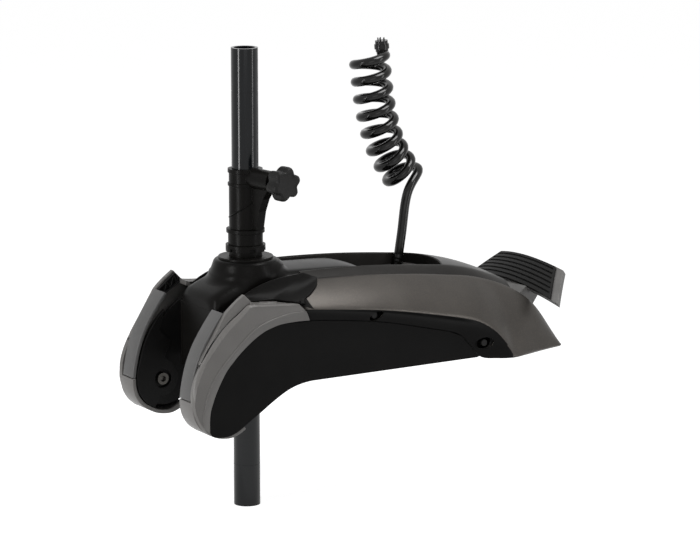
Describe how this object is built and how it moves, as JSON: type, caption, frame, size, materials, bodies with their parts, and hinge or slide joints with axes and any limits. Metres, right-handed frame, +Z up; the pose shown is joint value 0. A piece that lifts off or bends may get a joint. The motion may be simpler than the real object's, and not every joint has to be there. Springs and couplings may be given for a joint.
{
  "type": "trolling motor mount",
  "caption": "Bow-mount trolling motor's folding mount: arched covers, gray cheeks, steering head on a stow pivot, shaft with depth collar and clamp knob, curly cord and foot release pedal.",
  "frame": {"origin": "centre of the deck bolt pattern, on the underside of the base plate", "axes": "+X aft, towards the release pedal; +Y starboard; +Z up, along the shaft as deployed"},
  "size_m": [0.4811, 0.1944, 0.493],
  "materials": {
    "frame_metal": "black powder coat",
    "cheek_black": "satin moulded",
    "trim_gray": "satin moulded",
    "panel_black": "flat black",
    "cover_metallic": "fine metallic speckle",
    "band_gray": "smooth satin",
    "head_black": "soft sheen",
    "shaft_dark": "glossy composite",
    "casting": "as cast",
    "steel": "stainless",
    "bush_plastic": "natural acetal",
    "pinion_brass": "machined",
    "motor_can": "satin",
    "board_green": "potted board",
    "knob_black": "matte moulded",
    "pedal_gray": "satin moulded",
    "tread_black": "grooved",
    "rubber_black": "matte",
    "cord_black": "glossy jacket"
  },
  "bodies": {
    "base": {"base_plate": "frame_metal", "port_side_frame": "frame_metal", "starboard_side_frame": "frame_metal", "port_cheek_plate": "cheek_black", "starboard_cheek_plate": "cheek_black", "cheek_bolts": "steel", "port_cheek_trim": "trim_gray", "starboard_cheek_trim": "trim_gray", "port_rest_pad": "trim_gray", "starboard_rest_pad": "trim_gray", "port_side_panel": "panel_black", "starboard_side_panel": "panel_black", "port_side_cover": "cover_metallic", "starboard_side_cover": "cover_metallic", "cover_screws": "steel", "top_cover": "band_gray", "rear_cover": "cheek_black", "power_gland": "cord_black", "pivot_shaft": "steel", "pivot_rings": "steel", "pivot_spacers": "steel", "stop_beam": "frame_metal", "stop_bumper": "rubber_black", "well_shelf": "cheek_black", "control_board": "board_green", "pedal_pin": "steel", "pedal_spring": "steel", "rod_guides": "frame_metal", "pawl_bracket": "frame_metal", "cord_relief": "cord_black", "cord_lead": "cord_black", "cord_coil": "cord_black", "cord_connector": "cord_black"},
    "carriage": {"carriage_casting": "casting", "pivot_bushes": "bush_plastic", "housing_shell": "head_black", "housing_hood": "head_black", "housing_screws": "steel", "lower_bearing": "bush_plastic", "upper_bearing": "bush_plastic", "boss_washer": "head_black", "steering_motor": "motor_can", "latch_sector": "casting"},
    "steering": {"steering_hub": "head_black", "steering_gear": "bush_plastic", "collar_lock_ring": "head_black", "depth_collar": "head_black"},
    "pinion": {"steering_pinion": "pinion_brass"},
    "shaft": {"shaft": "shaft_dark"},
    "clamp_shoe": {"clamp_shoe": "knob_black"},
    "clamp": {"clamp_knob": "knob_black", "clamp_stud": "steel"},
    "pedal": {"release_pedal": "pedal_gray", "pedal_tread": "tread_black"},
    "rod": {"pull_rod": "steel"},
    "pawl": {"latch_pawl": "steel"}
  },
  "joints": [
    {"name": "stow_pivot", "type": "hinge", "parent": "base", "child": "carriage", "pos_m": [-0.074, 0, 0.055], "axis": [0, 1, 0], "range_deg": [0, 90]},
    {"name": "steer_turn", "type": "hinge", "parent": "carriage", "child": "steering", "pos_m": [-0.18, 0, 0], "axis": [0, 0, 1], "range_deg": [-90, 270]},
    {"name": "pinion_turn", "type": "hinge", "parent": "carriage", "child": "pinion", "pos_m": [-0.22, 0, 0], "axis": [0, 0, 1], "range_deg": [-820, 280]},
    {"name": "depth_slide", "type": "slide", "parent": "steering", "child": "shaft", "axis": [0, 0, 1], "range_m": [-0.12, 0.1]},
    {"name": "clamp_slide", "type": "slide", "parent": "steering", "child": "clamp_shoe", "axis": [0.1736, -0.9848, 0], "range_m": [0, 0.0025]},
    {"name": "knob_turn", "type": "hinge", "parent": "clamp_shoe", "child": "clamp", "pos_m": [-0.18, 0, 0.214], "axis": [0.1736, -0.9848, 0], "range_deg": [0, 722]},
    {"name": "pedal_hinge", "type": "hinge", "parent": "base", "child": "pedal", "pos_m": [0.12, 0, 0.04], "axis": [0, 1, 0], "range_deg": [0, 15], "stiffness_Nm_per_rad": 2.5, "springref_deg": -11.46},
    {"name": "rod_slide", "type": "slide", "parent": "base", "child": "rod", "axis": [1, 0, 0], "range_m": [-0.0038, 0]},
    {"name": "pawl_hinge", "type": "hinge", "parent": "base", "child": "pawl", "pos_m": [-0.048, 0, 0.018], "axis": [0, 1, 0], "range_deg": [-31, 0]}
  ],
  "couplings": [
    {"joint": "pinion_turn", "follows": "steer_turn", "ratio": -3},
    {"joint": "knob_turn", "follows": "clamp_slide", "rad_per_m": 5026.5},
    {"joint": "rod_slide", "follows": "pedal_hinge", "m_per_rad": -0.014},
    {"joint": "pawl_hinge", "follows": "pedal_hinge", "ratio": -2}
  ]
}
